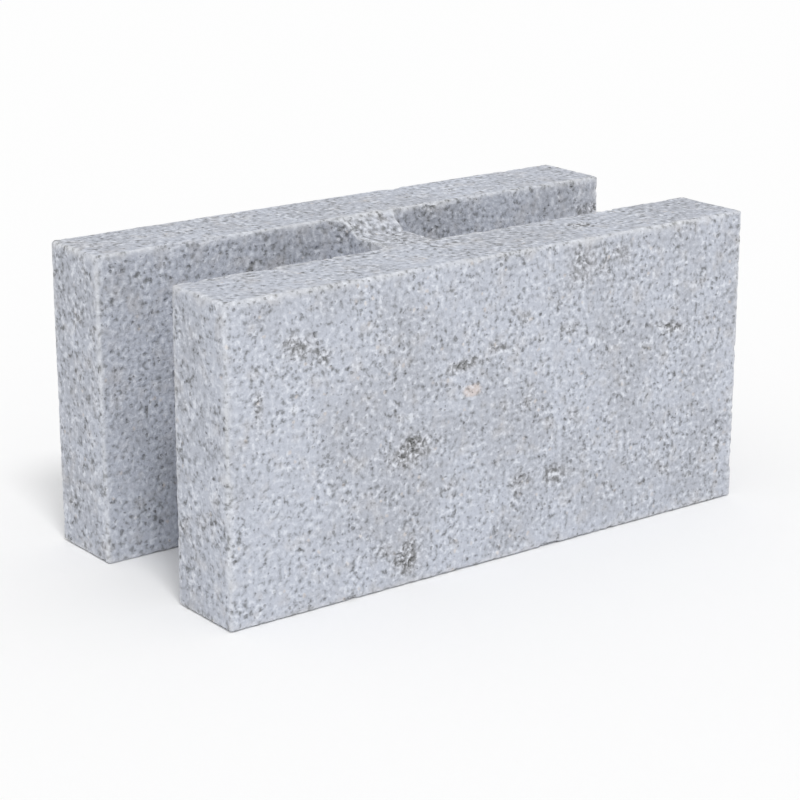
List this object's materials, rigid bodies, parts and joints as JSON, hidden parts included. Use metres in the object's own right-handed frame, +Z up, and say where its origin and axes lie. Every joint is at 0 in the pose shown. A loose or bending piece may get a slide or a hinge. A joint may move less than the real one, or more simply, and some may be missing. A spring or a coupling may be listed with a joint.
{
  "type": "concrete block",
  "caption": "Hollow concrete masonry block, H-shaped in plan, with both ends open and a dipped cross web that lets a reinforcing bar lie through the grouted wall.",
  "frame": {"origin": "middle of the underside, which is the bottom bed", "axes": "+X along the length of the block, +Y from the front face shell to the back one, +Z up as the block is laid"},
  "size_m": [0.397, 0.194, 0.194],
  "materials": {
    "concrete": "matte"
  },
  "bodies": {
    "root": {"concrete_block": "concrete"}
  },
  "joints": []
}
